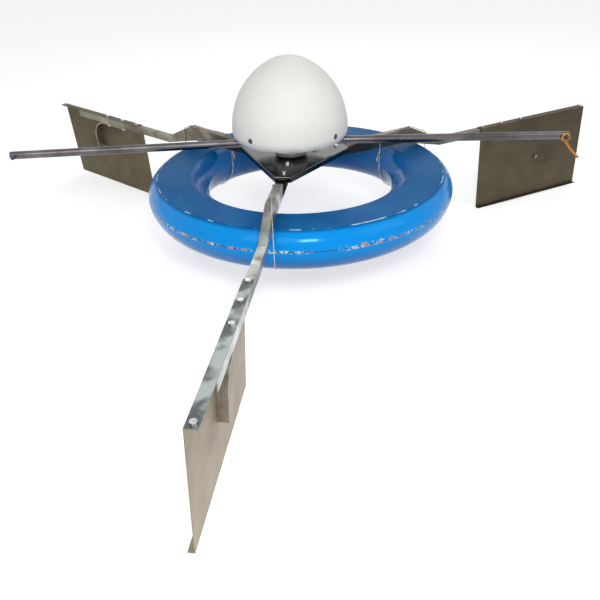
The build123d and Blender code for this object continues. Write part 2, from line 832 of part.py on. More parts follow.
# Mooring tubes: closed at the outer end, held in the sockets by a bolt from below
for name, side in sides:
    with BuildPart() as tube:
        with BuildSketch(tube_plane(side, tube_inner_end)):
            Circle(tube_radius)
        extrude(amount=tube_reach - tube_inner_end)
        with BuildSketch(tube_plane(side, tube_inner_end)):
            Circle(tube_radius - tube_wall)
        extrude(amount=tube_reach - tube_inner_end - tube_cap, mode=Mode.SUBTRACT)
        with BuildSketch(tube_side_plane(side, tube_bolt_place)):
            Circle(m10_radius + bolt_gap)
        extrude(amount=tube_radius + seat_gap, both=True, mode=Mode.SUBTRACT)
        eye = tube_plane(side, tube_reach - tube_eye_margin)
        with BuildSketch(Plane(origin=eye.origin, z_dir=(0, -1, 0))):
            Circle(m8_radius + bolt_gap)
        extrude(amount=tube_radius + seat_gap, both=True, mode=Mode.SUBTRACT)
    tube.part.label = f"{name}_mooring_tube"
    export_step(tube.part, f"parts/{name}_mooring_tube.step")

lock_grip = socket_radius + tube_radius - m10_head_height * thread_share
lock_bolt = bolt_shape(m10_head_width, m10_head_height, m10_radius, lock_grip, nut=False)
lock_bolts = []
for name, side in sides:
    foot = tube_side_plane(side, tube_bolt_place, -socket_radius)
    lock_bolts.append(set_at(Plane(origin=foot.origin, z_dir=foot.z_dir * -1), lock_bolt))
group_of("tube_lock_bolts", lock_bolts)

# Bolt across the end of each tube, with room for a mooring line's eye under its head
rope_room = rope_diameter + 2 * seat_gap
eye_grip = 2 * tube_radius + rope_room + seat_gap
eye_bolt = bolt_shape(m8_head_width, m8_head_height, m8_radius, eye_grip)
eye_bolts = []
for name, side in sides:
    eye = tube_plane(side, tube_reach - tube_eye_margin)
    front = eye.origin - Vector(0, tube_radius + rope_room, 0)
    eye_bolts.append(set_at(Plane(origin=front, z_dir=(0, -1, 0)), eye_bolt))
group_of("mooring_bolts", eye_bolts)

# Rope: an eye that hangs slack on the right bolt, and a short end that sticks out to the front,
# low enough to pass below the bolt's head
right_eye = tube_plane(1, tube_reach - tube_eye_margin).origin
eye_radius = m8_radius + seat_gap + rope_diameter / 2 + rope_slack
eye_middle = right_eye - Vector(0, tube_radius + rope_room / 2, rope_slack)
with BuildPart() as rope_eye:
    with BuildSketch(Plane(origin=eye_middle)):
        with Locations((eye_radius, 0)):
            Circle(rope_diameter / 2)
    revolve(axis=Axis(eye_middle, (0, 1, 0)))
rope_eye.part.label = "rope_eye"
export_step(rope_eye.part, "parts/rope_eye.step")

rope_points = [eye_middle - Vector(0, 0, eye_radius)]
for drop, drift in zip(rope_drops, rope_drifts):
    rope_points.append(rope_points[-1] + Vector(drift, -rope_run, -drop))
rope_bends = []
for before, here, after in zip(rope_points, rope_points[1:], rope_points[2:]):
    half_turn = math.radians((here - before).get_angle(after - here)) / 2
    run = min((here - before).length, (after - here).length)
    rope_bends.append(0.45 * run / math.tan(half_turn))
print("rope bends", [round(bend) for bend in rope_bends])
with BuildPart() as rope_tail:
    with BuildLine():
        rope_line = FilletPolyline(*rope_points, radius=rope_bends)
    with BuildSketch(Plane(origin=rope_line @ 0, z_dir=rope_line % 0)):
        Circle(rope_diameter / 2)
    sweep(path=rope_line)
rope_tail.part.label = "rope_tail"
export_step(rope_tail.part, "parts/rope_tail.step")
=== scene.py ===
# %% [markdown]
# # A floating pond plough, dressed for its picture
# The machine is a slow rotor with three sheet-metal blades. It hangs its weight on a blue
# ring float, and a geared motor sits in the middle under a pale dome. The solids come from
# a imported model, and this lesson gives them their light, their finishes and the small
# things that a solid model leaves out: scuffs, welds, twisted wire and rope.

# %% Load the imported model
import math

import bpy
from mathutils import Matrix, Vector


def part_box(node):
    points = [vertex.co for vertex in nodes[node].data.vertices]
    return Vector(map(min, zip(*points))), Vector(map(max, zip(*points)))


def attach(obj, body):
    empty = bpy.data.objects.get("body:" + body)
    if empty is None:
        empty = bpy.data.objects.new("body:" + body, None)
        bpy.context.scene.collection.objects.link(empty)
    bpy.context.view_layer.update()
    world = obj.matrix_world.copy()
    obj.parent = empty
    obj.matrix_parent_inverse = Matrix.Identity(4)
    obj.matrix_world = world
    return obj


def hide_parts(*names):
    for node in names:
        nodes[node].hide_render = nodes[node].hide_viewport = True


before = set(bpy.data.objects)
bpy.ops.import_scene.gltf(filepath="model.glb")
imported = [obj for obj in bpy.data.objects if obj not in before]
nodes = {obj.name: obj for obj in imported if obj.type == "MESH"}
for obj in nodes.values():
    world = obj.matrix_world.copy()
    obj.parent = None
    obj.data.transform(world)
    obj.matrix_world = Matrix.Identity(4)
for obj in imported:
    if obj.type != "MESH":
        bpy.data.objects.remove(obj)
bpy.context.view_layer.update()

# %% [markdown]
# ## The camera
# The picture was taken from a standing person's eye height, looking down by about a third
# of a right angle. A camera can be aimed with a Track To constraint, but here the angles
# are known, so the three axes of the camera are worked out and written into its matrix.
# The small roll matters: without it the two long tubes would both tilt the wrong way.

# %% Camera
eye = Vector((-0.007, -1.9103, 0.711))
turn_right, look_down, lean_over = 0.0107, 0.5761, -0.0334
forward = Vector((
    math.sin(turn_right) * math.cos(look_down),
    math.cos(turn_right) * math.cos(look_down),
    -math.sin(look_down),
))
level_right = Vector((math.cos(turn_right), -math.sin(turn_right), 0))
level_up = level_right.cross(forward)
right = level_right * math.cos(lean_over) + level_up * math.sin(lean_over)
up = level_up * math.cos(lean_over) - level_right * math.sin(lean_over)
camera_data = bpy.data.cameras.new("camera")
camera_data.lens = 36.06
camera = bpy.data.objects.new("camera", camera_data)
bpy.context.scene.collection.objects.link(camera)
aim = Matrix((right, up, -forward)).transposed().to_4x4()
camera.matrix_world = Matrix.Translation(eye) @ aim
bpy.context.scene.camera = camera
print("camera stands", round(eye.length, 2), "m from the hub")

# %% [markdown]
# ## Rope
# A short rope is tied to the bolt at the right tube's end. A rope could be one thick tube
# with a twisted bump map, but its outline would stay smooth. Here its middle line is a curve
# through a few given points, and the strands are laid round it later on, once the
# tree for strands is there, so the line comes first.

# %% Rope line
rope_thick = 0.008
rope_run = 0.024
rope_steps = [(0.002, 0.010), (0.003, 0.007), (0.002, 0.004), (0.0, 0.002)]
eye_low, eye_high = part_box("rope_eye")
rope_exit = Vector((
    (eye_low.x + eye_high.x) / 2, (eye_low.y + eye_high.y) / 2, eye_low.z + rope_thick / 2,
))
rope_route = [rope_exit.copy()]
for drift, drop in rope_steps:
    rope_route.append(rope_route[-1] + Vector((drift, -rope_run, -drop)))
line_data = bpy.data.curves.new("rope_line", "CURVE")
line_data.dimensions = "3D"
spline = line_data.splines.new("NURBS")
spline.points.add(len(rope_route) - 1)
for point, place in zip(spline.points, rope_route):
    point.co = (*place, 1)
spline.order_u = 3
spline.use_endpoint_u = True
line_object = bpy.data.objects.new("rope_line", line_data)
rope_path = [v.co.copy() for v in bpy.data.meshes.new_from_object(line_object).vertices]
bpy.data.objects.remove(line_object)

# %% [markdown]
# ## Tools for node trees
# The floor, the finishes and the grown pieces are all node trees. Wiring them by hand takes
# many lines that say the same thing, so a few small helpers do it: one makes a node and
# feeds its inputs, some do sums, and some give a mask, a mix of two colours or a bump.

# %% Node helpers
def feed(tree, socket, value):
    """Feeds an input from another node's output, or sets it to a constant."""
    if isinstance(value, bpy.types.NodeSocket):
        tree.links.new(value, socket)
    else:
        socket.default_value = value


def add_node(tree, kind, settings=None, **inputs):
    """A new node, with properties from settings, and inputs by name, spaces as underscores."""
    node = tree.nodes.new(kind)
    for key, value in (settings or {}).items():
        setattr(node, key, value)
    for key, value in inputs.items():
        feed(tree, node.inputs[key.replace("_", " ")], value)
    return node


def maths(tree, kind, *values):
    """One sum on values or sockets."""
    node = add_node(tree, "ShaderNodeMath", {"operation": kind})
    for socket, value in zip(node.inputs, values):
        feed(tree, socket, value)
    return node.outputs[0]


def vector_maths(tree, kind, *values):
    """One sum on vectors; the second value of SCALE is a plain number."""
    node = add_node(tree, "ShaderNodeVectorMath", {"operation": kind})
    sockets = (node.inputs[0], node.inputs["Scale"]) if kind == "SCALE" else node.inputs
    for socket, value in zip(sockets, values):
        feed(tree, socket, value)
    return node.outputs["Value" if kind == "LENGTH" else 0]


def from_axis(tree, place):
    """How far a place is from the upright line through the origin."""
    return vector_maths(tree, "LENGTH", vector_maths(tree, "MULTIPLY", place, (1, 1, 0)))


def zone(tree, value, start, full):
    """Zero at one value of a field and one at another, smooth between them."""
    return add_node(tree, "ShaderNodeMapRange", {"interpolation_type": "SMOOTHSTEP"},
                    Value=value, From_Min=start, From_Max=full).outputs[0]


def near(tree, value, middle, half):
    """One within a distance of a middle value, fading out over the same distance again."""
    off = maths(tree, "ABSOLUTE", maths(tree, "SUBTRACT", value, middle))
    return zone(tree, off, half * 2, half)


def overlap(tree, first, *others):
    """The product of masks."""
    for other in others:
        first = maths(tree, "MULTIPLY", first, other)
    return first


def noise(tree, place, scale, detail=3.0, start=None, full=None):
    """Noise, or the part of it between two levels."""
    level = add_node(tree, "ShaderNodeTexNoise", Vector=place, Scale=scale,
                     Detail=detail).outputs["Fac"]
    return level if start is None else zone(tree, level, start, full)


def mixed(tree, mask, under, over):
    """Two colours or colour sockets, mixed by a mask."""
    node = add_node(tree, "ShaderNodeMix", {"data_type": "RGBA"}, Factor=mask)
    for name, value in (("A", under), ("B", over)):
        feed(tree, node.inputs[name], (*value, 1) if isinstance(value, tuple) else value)
    return node.outputs["Result"]


def bump(tree, skin, height, strength, distance):
    """Lets a height field tilt a shader's normals."""
    node = add_node(tree, "ShaderNodeBump", Height=height, Strength=strength, Distance=distance)
    tree.links.new(node.outputs[0], skin.inputs["Normal"])


# %% [markdown]
# ## Floor and light
# The machine stands on the lower edges of its blades, on a plain white studio floor. The
# floor is one large square: its edge is never seen, because the world behind it is white
# too. It glows a little, but only for rays that come from the camera or off a shiny thing,
# so it looks white and still keeps the shadow. More lamp light would whiten it too, but it
# would bleach the machine as well. The lamps copy a small flash beside the camera, helped
# by wide soft boxes.

# %% White for the camera
def seen_rays(tree):
    """One where a ray comes straight from the camera, or from it by a mirror or glass."""
    rays = tree.nodes.new("ShaderNodeLightPath").outputs
    straight = maths(tree, "MAXIMUM", rays["Is Camera Ray"], rays["Is Glossy Ray"])
    return maths(tree, "MAXIMUM", straight, rays["Is Transmission Ray"])


# %% Floor
floor_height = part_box("front_blade")[0].z
floor_reach = 14.0
floor_glow = 0.5
floor_mesh = bpy.data.meshes.new("floor")
floor_mesh.from_pydata(
    [(-floor_reach, -floor_reach, floor_height), (floor_reach, -floor_reach, floor_height),
     (floor_reach, floor_reach, floor_height), (-floor_reach, floor_reach, floor_height)],
    [], [(0, 1, 2, 3)],
)
floor = bpy.data.objects.new("floor", floor_mesh)
bpy.context.scene.collection.objects.link(floor)
floor_paint = bpy.data.materials.new("floor")
floor_paint.use_nodes = True
tree = floor_paint.node_tree
floor_look = tree.nodes["Principled BSDF"].inputs
floor_look["Base Color"].default_value = (0.86, 0.86, 0.86, 1)
floor_look["Roughness"].default_value = 0.9
floor_look["Specular IOR Level"].default_value = 0.1
floor_look["Emission Color"].default_value = (1, 1, 1, 1)
glow = maths(tree, "MULTIPLY", seen_rays(tree), floor_glow)
tree.links.new(glow, floor_look["Emission Strength"])
floor_mesh.materials.append(floor_paint)
print("floor at", round(floor_height, 3), "m")

# %% Lamps and world
def lamp(name, place, size, power):
    """A square soft box that looks at the hub."""
    data = bpy.data.lights.new(name, "AREA")
    data.size = size
    data.energy = power
    box = bpy.data.objects.new(name, data)
    box.location = place
    box.rotation_euler = (-Vector(place)).to_track_quat("-Z", "Y").to_euler()
    bpy.context.scene.collection.objects.link(box)


lamp("flash", eye + Vector((0.15, 0.1, 0.35)), 0.35, 15)
lamp("left_box", (-1.5, -3.0, 2.6), 2.0, 33)
lamp("right_box", (3.0, -1.6, 2.4), 2.2, 18)
lamp("back_box", (0.4, 3.0, 2.6), 2.0, 14)
world_light = 0.45
world_seen = 1.0
world = bpy.data.worlds.new("studio")
bpy.context.scene.world = world
world.use_nodes = True
tree = world.node_tree
strength = add_node(tree, "ShaderNodeMix", {"data_type": "FLOAT"}, Factor=seen_rays(tree),
                    A=world_light, B=world_seen)
backdrop = tree.nodes["Background"].inputs
tree.links.new(strength.outputs["Result"], backdrop["Strength"])
backdrop["Color"].default_value = (1, 1, 1, 1)
bpy.context.scene.view_settings.view_transform = "Standard"
print("four lamps and a white world")

# %% [markdown]
# ## Tools for the finishes
# Most finishes share a few effects, above all brushed grain on sheet metal and cloudy
# handling marks. Each of them is a node group, built once, with its sizes as inputs. All
# of them read the object's own coordinates, so they turn with the piece when it moves.

# %% Finish helpers
def finish(name, colour, roughness=0.5, metallic=0.0):
    """A material with its tree, its Principled shader and its object coordinates."""
    material = bpy.data.materials.new(name)
    material.use_nodes = True
    tree = material.node_tree
    skin = tree.nodes["Principled BSDF"]
    skin.inputs["Base Color"].default_value = (*colour, 1)
    skin.inputs["Roughness"].default_value = roughness
    skin.inputs["Metallic"].default_value = metallic
    place = tree.nodes.new("ShaderNodeTexCoord").outputs["Object"]
    return material, tree, skin, place


def dress(names, material):
    """Puts a material on CAD nodes."""
    for name in names:
        data = nodes[name].data
        data.materials.clear()
        data.materials.append(material)
    print(material.name, "on", ", ".join(names))


def new_group(name, inputs, outputs):
    """A node group with named sockets; returns the group, its input and its output."""
    group = bpy.data.node_groups.new(name, "ShaderNodeTree")
    for socket, kind, value in inputs:
        made = group.interface.new_socket(socket, in_out="INPUT", socket_type=kind)
        made.default_value = value
    for socket, kind in outputs:
        group.interface.new_socket(socket, in_out="OUTPUT", socket_type=kind)
    return group, group.nodes.new("NodeGroupInput"), group.nodes.new("NodeGroupOutput")


def use_group(tree, group, **inputs):
    """Puts a node group into a tree and returns its only output."""
    return add_node(tree, "ShaderNodeGroup", {"node_tree": group}, **inputs).outputs[0]


# %% [markdown]
# ## Brushed grain
# Rolled stainless sheet has fine lines along the way it was rolled. Noise that is
# stretched a lot one way gives them. The group takes coordinates that already run along
# the sheet, so the same group serves arms, blades and tubes that point different ways.

# %% Grain group
grain_group, given, made = new_group(
    "brushed_grain",
    [("Place", "NodeSocketVector", (0, 0, 0)), ("Stretch", "NodeSocketFloat", 40.0),
     ("Fineness", "NodeSocketFloat", 30.0)],
    [("Lines", "NodeSocketFloat")],
)
shrink = maths(grain_group, "DIVIDE", 1.0, given.outputs["Stretch"])
squeeze = add_node(grain_group, "ShaderNodeCombineXYZ", X=shrink, Y=1.0, Z=1.0)
squeezed = vector_maths(grain_group, "MULTIPLY", given.outputs["Place"], squeeze.outputs[0])
lines = noise(grain_group, squeezed, given.outputs["Fineness"], 6.0)
grain_group.links.new(lines, made.inputs["Lines"])
print("grain group ready")

# %% [markdown]
# ## Clouds of handling
# Nobody wipes such a sheet. Hands, rain and protective film leave cloudy patches that are a
# little duller or browner than the rest. Two sizes of noise, the finer one added at a third
# of its strength, keep the patches from looking like a regular pattern.

# %% Cloud group
cloud_group, given, made = new_group(
    "handling_clouds",
    [("Place", "NodeSocketVector", (0, 0, 0)), ("Size", "NodeSocketFloat", 5.0),
     ("Edge", "NodeSocketFloat", 0.55)],
    [("Patch", "NodeSocketFloat")],
)
wide = add_node(cloud_group, "ShaderNodeTexNoise", Vector=given.outputs["Place"],
                Scale=given.outputs["Size"], Detail=3.0, Distortion=0.8)
close_scale = maths(cloud_group, "MULTIPLY", given.outputs["Size"], 5.0)
close = noise(cloud_group, given.outputs["Place"], close_scale, 4.0)
both = maths(cloud_group, "MULTIPLY_ADD", close, 0.35, wide.outputs["Fac"])
patch = add_node(cloud_group, "ShaderNodeMapRange", {"clamp": True}, Value=both,
                 From_Min=given.outputs["Edge"], From_Max=0.85)
cloud_group.links.new(patch.outputs[0], made.inputs["Patch"])
print("cloud group ready")

# %% [markdown]
# ## Sheet metal
# One function makes each kind of steel, because the kinds differ only in colour, shine and
# the way their grain runs. The grain turns with a Mapping node: its angle is the turn of
# the arm, so the lines run along each arm and blade and not across two of them.

# %% Steel maker
def steel(name, colour, dull, turn=0.0, rough=0.3, stretch=40.0, fine=60.0, patch_size=5.0,
          patch_edge=0.55, streak=0.08, rougher=0.18, ridge=0.15):
    """Brushed steel whose grain runs at a turn about Z, with dull patches."""
    material, tree, skin, place = finish(name, colour, rough, 1.0)
    turned = add_node(tree, "ShaderNodeMapping", {"vector_type": "TEXTURE"}, Vector=place,
                      Rotation=(0, 0, math.radians(turn))).outputs[0]
    grain = use_group(tree, grain_group, Place=turned, Stretch=stretch, Fineness=fine)
    clouds = use_group(tree, cloud_group, Place=turned, Size=patch_size, Edge=patch_edge)
    tone = add_node(tree, "ShaderNodeMapRange", Value=grain, From_Min=0.3, From_Max=0.7,
                    To_Min=1.0 - streak, To_Max=1.0 + streak).outputs[0]
    tint = vector_maths(tree, "SCALE", mixed(tree, clouds, colour, dull), tone)
    tree.links.new(tint, skin.inputs["Base Color"])
    gloss = maths(tree, "MULTIPLY_ADD", clouds, rougher, rough)
    tree.links.new(gloss, skin.inputs["Roughness"])
    bump(tree, skin, grain, ridge, 0.0004)
    return material


# %% [markdown]
# ## Arms, braces and blades
# The three arms are the same parts, but the light finds them at different angles, and that
# light is painted into the colours of arms, braces and blades: the front ones are painted
# light, silvery and warm, and the rear ones are darker copies in painted shade. So each side
# has its own pair of tones: one for the clean sheet and one for its dull patches.

# %% Arms, braces and blades
arm_turns = {"right": 21.8, "left": 141.8, "front": 261.8}
# Painted light and shade: each side's tones are a lit or a shaded copy of one steel.
arm_painted_light_tones = {
    "right": ((0.20, 0.18, 0.15), (0.10, 0.09, 0.07)),
    "left": ((0.30, 0.28, 0.23), (0.14, 0.12, 0.09)),
    "front": ((0.60, 0.62, 0.60), (0.20, 0.20, 0.18)),
}
brace_painted_light_tones = {
    "right": ((0.30, 0.27, 0.22), (0.20, 0.18, 0.15)),
    "left": ((0.45, 0.42, 0.35), (0.30, 0.28, 0.23)),
    "front": ((0.42, 0.38, 0.32), (0.26, 0.23, 0.19)),
}
blade_painted_light_tones = {
    "right": ((0.122, 0.100, 0.066), (0.078, 0.063, 0.040)),
    "left": ((0.150, 0.122, 0.074), (0.090, 0.073, 0.044)),
    "front": ((0.355, 0.30, 0.23), (0.245, 0.205, 0.155)),
}
for side, turn in arm_turns.items():
    dress([f"{side}_arm"], steel(f"{side}_arm_steel", *arm_painted_light_tones[side], turn, 0.22, streak=0.10,
                                 patch_size=7.0))
    dress([f"{side}_brace"], steel(f"{side}_brace_steel", *brace_painted_light_tones[side], turn, 0.24,
                                   patch_size=9.0))
    dress([f"{side}_blade"], steel(f"{side}_blade_steel", *blade_painted_light_tones[side], turn, 0.38,
                                   patch_size=3.2, patch_edge=0.42, stretch=14.0, fine=70.0,
                                   streak=0.045, ridge=0.08))

# %% [markdown]
# ## The dark foot of each arm
# Where an arm comes out from under the dome and the pan it lies in their shade, and that
# shade is painted into the steel's colour up to the ring, darkest on the front arm. The steel
# already has its colour, so the painted shade is laid over whatever feeds that colour, dims
# the arm's reflections as well, and fades with the distance from the middle.

# %% Painted shade near the hub
painted_shade_end, painted_shade_gone = 0.295, 0.335
ragged_edge = 0.05
for side, painted_shade_level in (("front", 0.12), ("left", 0.6), ("right", 0.7)):
    tree = bpy.data.materials[f"{side}_arm_steel"].node_tree
    skin = tree.nodes["Principled BSDF"]
    colour = skin.inputs["Base Color"]
    place = tree.nodes.new("ShaderNodeTexCoord").outputs["Object"]
    ragged = maths(tree, "ADD", from_axis(tree, place),
                   maths(tree, "MULTIPLY", noise(tree, place, 30.0), ragged_edge))
    # Painted shade: colour and specular tint are darkened near the hub, under the dome and pan.
    unshaded = zone(tree, ragged, painted_shade_end, painted_shade_gone)
    kept = maths(tree, "ADD", maths(tree, "MULTIPLY", unshaded, 1.0 - painted_shade_level), painted_shade_level)
    tint = vector_maths(tree, "SCALE", colour.links[0].from_socket, kept)
    tree.links.new(tint, colour)
    tree.links.new(kept, skin.inputs["Specular Tint"])
    print(side, "arm shaded near the hub")

# %% [markdown]
# ## The bright flange
# The top flange of the front blade is painted silvery where the sheet below it is tan, as a
# painted highlight for the sky it faces. It is the only part of the blade that is high up
# and also faces the sky, so height and normal together find it, without a second material.

# %% Bright flange of the front blade
flange_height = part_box("front_blade")[1].z
tree = bpy.data.materials["front_blade_steel"].node_tree
colour = tree.nodes["Principled BSDF"].inputs["Base Color"]
place = tree.nodes.new("ShaderNodeTexCoord").outputs["Object"]
heights = add_node(tree, "ShaderNodeSeparateXYZ", Vector=place).outputs["Z"]
normal = tree.nodes.new("ShaderNodeNewGeometry").outputs["True Normal"]
facing_up = add_node(tree, "ShaderNodeSeparateXYZ", Vector=normal).outputs["Z"]
# Painted highlight: the sky-facing top of the flange gets a lighter colour.
lit_flange_top = overlap(tree, zone(tree, facing_up, 0.7, 0.85),
                    zone(tree, heights, flange_height - 0.08, flange_height - 0.07))
flange_painted_highlight = mixed(tree, noise(tree, place, 14.0, 3.0, 0.44, 0.58), (0.40, 0.44, 0.44),
               (0.12, 0.135, 0.135))
tree.links.new(mixed(tree, lit_flange_top, colour.links[0].from_socket, flange_painted_highlight), colour)
print("flange at", round(flange_height, 3), "m made bright")

# %% [markdown]
# ## Hub, tubes and small metal
# The pan is polished, and its colour is painted dark as a painted reflection of the dark
# underside of the dome. The bowl above the pan is a painted casting, so it keeps some plain
# colour and shows its round form even in the shade. Bolts and wires differ in how bright
# and how dirty they are.

# %% Hub, pan and deck
# Painted reflection: the pan's colour is kept dark for the dark underside it mirrors.
dress(["hub_pan"], steel("pan_steel", (0.17, 0.165, 0.16), (0.10, 0.097, 0.092), 0, 0.12,
                         streak=0.04, rougher=0.12, ridge=0.04))
cover = steel("cover_steel", (0.86, 0.85, 0.84), (0.66, 0.65, 0.62), 0, 0.26, stretch=1.0,
              fine=50.0, streak=0.04, rougher=0.1, ridge=0.03)
cover.node_tree.nodes["Principled BSDF"].inputs["Metallic"].default_value = 0.35
dress(["bearing_cover"], cover)
dress(["gearbox_housing"], steel("cast_alloy", (0.62, 0.62, 0.61), (0.44, 0.43, 0.42), 0, 0.3,
                                 stretch=1.0, fine=120.0, ridge=0.3))
dress(["hub", "deck_plate"], steel("plate_steel", (0.40, 0.40, 0.39), (0.27, 0.26, 0.24), 0, 0.3))
dress(["output_shaft"], steel("shaft_steel", (0.55, 0.55, 0.55), (0.4, 0.4, 0.4), 0, 0.2))
dress(["shaft_bearings"], steel("bearing_steel", (0.6, 0.6, 0.6), (0.45, 0.45, 0.44), 0, 0.18))

# %% Tubes, bolts and wires
# Painted reflection: the tubes' steel is coloured dark for the dark surroundings it mirrors.
dress(["left_mooring_tube", "right_mooring_tube"],
      steel("tube_steel", (0.17, 0.155, 0.165), (0.09, 0.082, 0.085), 0, 0.16, stretch=60.0,
            streak=0.12, rougher=0.14))
dress(["brace_bolts"], steel("bolt_worn", (0.34, 0.32, 0.28), (0.16, 0.14, 0.11), 0, 0.3,
                             fine=200.0, patch_size=70.0))
dress(["pan_bolts", "blade_bolts", "housing_bolts", "tube_lock_bolts"],
      steel("bolt_zinc", (0.70, 0.71, 0.73), (0.45, 0.44, 0.42), 0, 0.2, fine=200.0,
            patch_size=60.0))
dress(["dome_screws", "mooring_bolts"],
      steel("bolt_dark", (0.12, 0.10, 0.16), (0.05, 0.045, 0.05), 0, 0.22, fine=200.0,
            patch_size=90.0))
wire_steel = steel("wire_steel", (0.66, 0.65, 0.61), (0.36, 0.30, 0.22), 0, 0.34, fine=300.0,
                   patch_size=40.0)
dress(["left_tie_wire", "right_tie_wire", "front_tie_wire"], wire_steel)

# %% [markdown]
# ## The ring float
# The ring is moulded in blue plastic. Its flat top is worn dull by feet and stacking, and
# the flanks stay deep and glossy. Its blues are lit and shaded copies: the outer flank has
# the lit blue, and the top, the inner flank and the foot have darker blues as painted shade.
# The mould's two halves meet in a seam round the outside, where the flash was scraped off
# and left a pale, rusty, broken line. At the front right the ring was bumped, so the scrapes
# are wider there. A pale broken line also runs along the outer edge of the flat top. All this
# could be painted on an unwrapped ring, but height and distance from the ring's own axis give
# each zone just as well, and noise breaks them up.

# %% Ring float finish
float_low, float_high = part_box("float_shell")
ring_middle = (float_low + float_high) / 2
ring_radius = (float_high.x - float_low.x) / 2
seam_height = -0.055
seam_middle = seam_height + 0.0035
pale_edge_radius = ring_radius - 0.0305
bumped_place, bumped_half = 0.17, 0.06
blue, tree, skin, place = finish("ring_blue", (0.0, 0.16, 0.62), 0.2)
centred = vector_maths(tree, "SUBTRACT", place, (ring_middle.x, ring_middle.y, 0))
sideways, forth, height = add_node(tree, "ShaderNodeSeparateXYZ", Vector=centred).outputs
radius = from_axis(tree, centred)

top = zone(tree, height, float_high.z - 0.008, float_high.z - 0.001)
outside = zone(tree, radius, ring_radius - 0.09, ring_radius - 0.05)
cloudy = use_group(tree, cloud_group, Place=place, Size=7.0, Edge=0.45)
# Painted light and shade: the outer flank gets the lit blue; the inner flank, the foot and the top
# get darker, shaded blues.
side_blue_lit_and_shaded = mixed(tree, outside, (0.0, 0.12, 0.41), (0.0, 0.25, 0.70))
above_foot = zone(tree, height, float_low.z + 0.01, seam_height)
low_blue_painted_shade = mixed(tree, above_foot, (0.002, 0.07, 0.30), side_blue_lit_and_shaded)
top_blue_painted_shade = mixed(tree, cloudy, (0.0, 0.085, 0.28), (0.004, 0.120, 0.33))
body_blue = mixed(tree, top, low_blue_painted_shade, top_blue_painted_shade)

wander = maths(tree, "MULTIPLY", noise(tree, place, 9.0), 0.007)
wavy_height = maths(tree, "ADD", height, wander)
seam_line = overlap(tree, near(tree, wavy_height, seam_middle, 0.0009), outside)
scraped = overlap(tree, near(tree, wavy_height, seam_middle, 0.0028), outside,
                  noise(tree, place, 95.0, 5.0, 0.47, 0.56),
                  noise(tree, place, 26.0, 3.0, 0.40, 0.52))
bumped = overlap(tree, near(tree, wavy_height, seam_middle + 0.002, 0.0045), outside,
                 noise(tree, place, 60.0, 5.0, 0.54, 0.64),
                 near(tree, sideways, bumped_place, bumped_half), zone(tree, forth, 0.0, -0.3))
scraped = maths(tree, "MAXIMUM", scraped, bumped)
# A pale broken line near the outer edge of the flat top.
pale_edge_line = overlap(tree, near(tree, maths(tree, "ADD", radius, wander), pale_edge_radius, 0.0011),
                 noise(tree, place, 20.0, 4.0, 0.50, 0.60),
                 zone(tree, height, float_high.z - 0.02, float_high.z))
nicks = maths(tree, "MULTIPLY", noise(tree, place, 55.0, 2.0, 0.74, 0.78), 0.6)

dark_seam = maths(tree, "MULTIPLY", seam_line, 0.9)
skin_colour = mixed(tree, dark_seam, body_blue, (0.01, 0.05, 0.14))
rust = mixed(tree, noise(tree, place, 30.0, 2.0, 0.45, 0.6), (0.58, 0.62, 0.62),
             (0.42, 0.27, 0.18))
skin_colour = mixed(tree, scraped, skin_colour, rust)
skin_colour = mixed(tree, pale_edge_line, skin_colour, (0.45, 0.60, 0.74))
skin_colour = mixed(tree, nicks, skin_colour, (0.16, 0.38, 0.66))
tree.links.new(skin_colour, skin.inputs["Base Color"])
worn = maths(tree, "MAXIMUM", scraped, maths(tree, "MULTIPLY", top, 0.45))
dull_shine = maths(tree, "ADD", maths(tree, "MULTIPLY", worn, 0.45), 0.16)
tree.links.new(dull_shine, skin.inputs["Roughness"])
relief = maths(tree, "ADD", noise(tree, place, 11.0, 2.0),
               maths(tree, "MULTIPLY", seam_line, -0.25))
bump(tree, skin, relief, 0.35, 0.004)
mirror = maths(tree, "SUBTRACT", 0.28, maths(tree, "MULTIPLY", top, 0.22))
tree.links.new(mirror, skin.inputs["Specular IOR Level"])
skin.inputs["Specular Tint"].default_value = (0.35, 0.75, 1.0, 1)
dress(["float_shell"], blue)

# %% [markdown]
# ## The dome and the other mouldings
# The dome is thick ivory plastic with a soft shine, and it is not quite even: it has the
# slow ripple of a blown or laid-up moulding. Dust lies in faint clouds on it, and a noisy
# darker band at the rim is painted dark reflection. The parts inside are hardly seen, so one
# speckled skin serves them.

# %% Dome finish
dome_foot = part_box("dome_cover")[0].z
rim_reflection_height = 0.012
ivory, tree, skin, place = finish("dome_ivory", (0.79, 0.79, 0.75), 0.46)
dust = use_group(tree, cloud_group, Place=place, Size=6.0, Edge=0.45)
ivory_tone = mixed(tree, dust, (0.79, 0.79, 0.75), (0.75, 0.75, 0.705))
heights = add_node(tree, "ShaderNodeSeparateXYZ", Vector=place).outputs["Z"]
# Painted reflection: a darker band at the rim for the dark things below that it mirrors.
rim_painted_reflection = overlap(tree, zone(tree, heights, dome_foot + rim_reflection_height, dome_foot),
                noise(tree, place, 30.0, 4.0, 0.42, 0.6))
ivory_tone = mixed(tree, rim_painted_reflection, ivory_tone, (0.55, 0.53, 0.46))
tree.links.new(ivory_tone, skin.inputs["Base Color"])
ripple = maths(tree, "ADD", noise(tree, place, 14.0, 1.0),
               maths(tree, "MULTIPLY", noise(tree, place, 260.0, 2.0), 0.03))
bump(tree, skin, ripple, 0.10, 0.01)
skin.inputs["Specular IOR Level"].default_value = 0.22
dress(["dome_cover"], ivory)


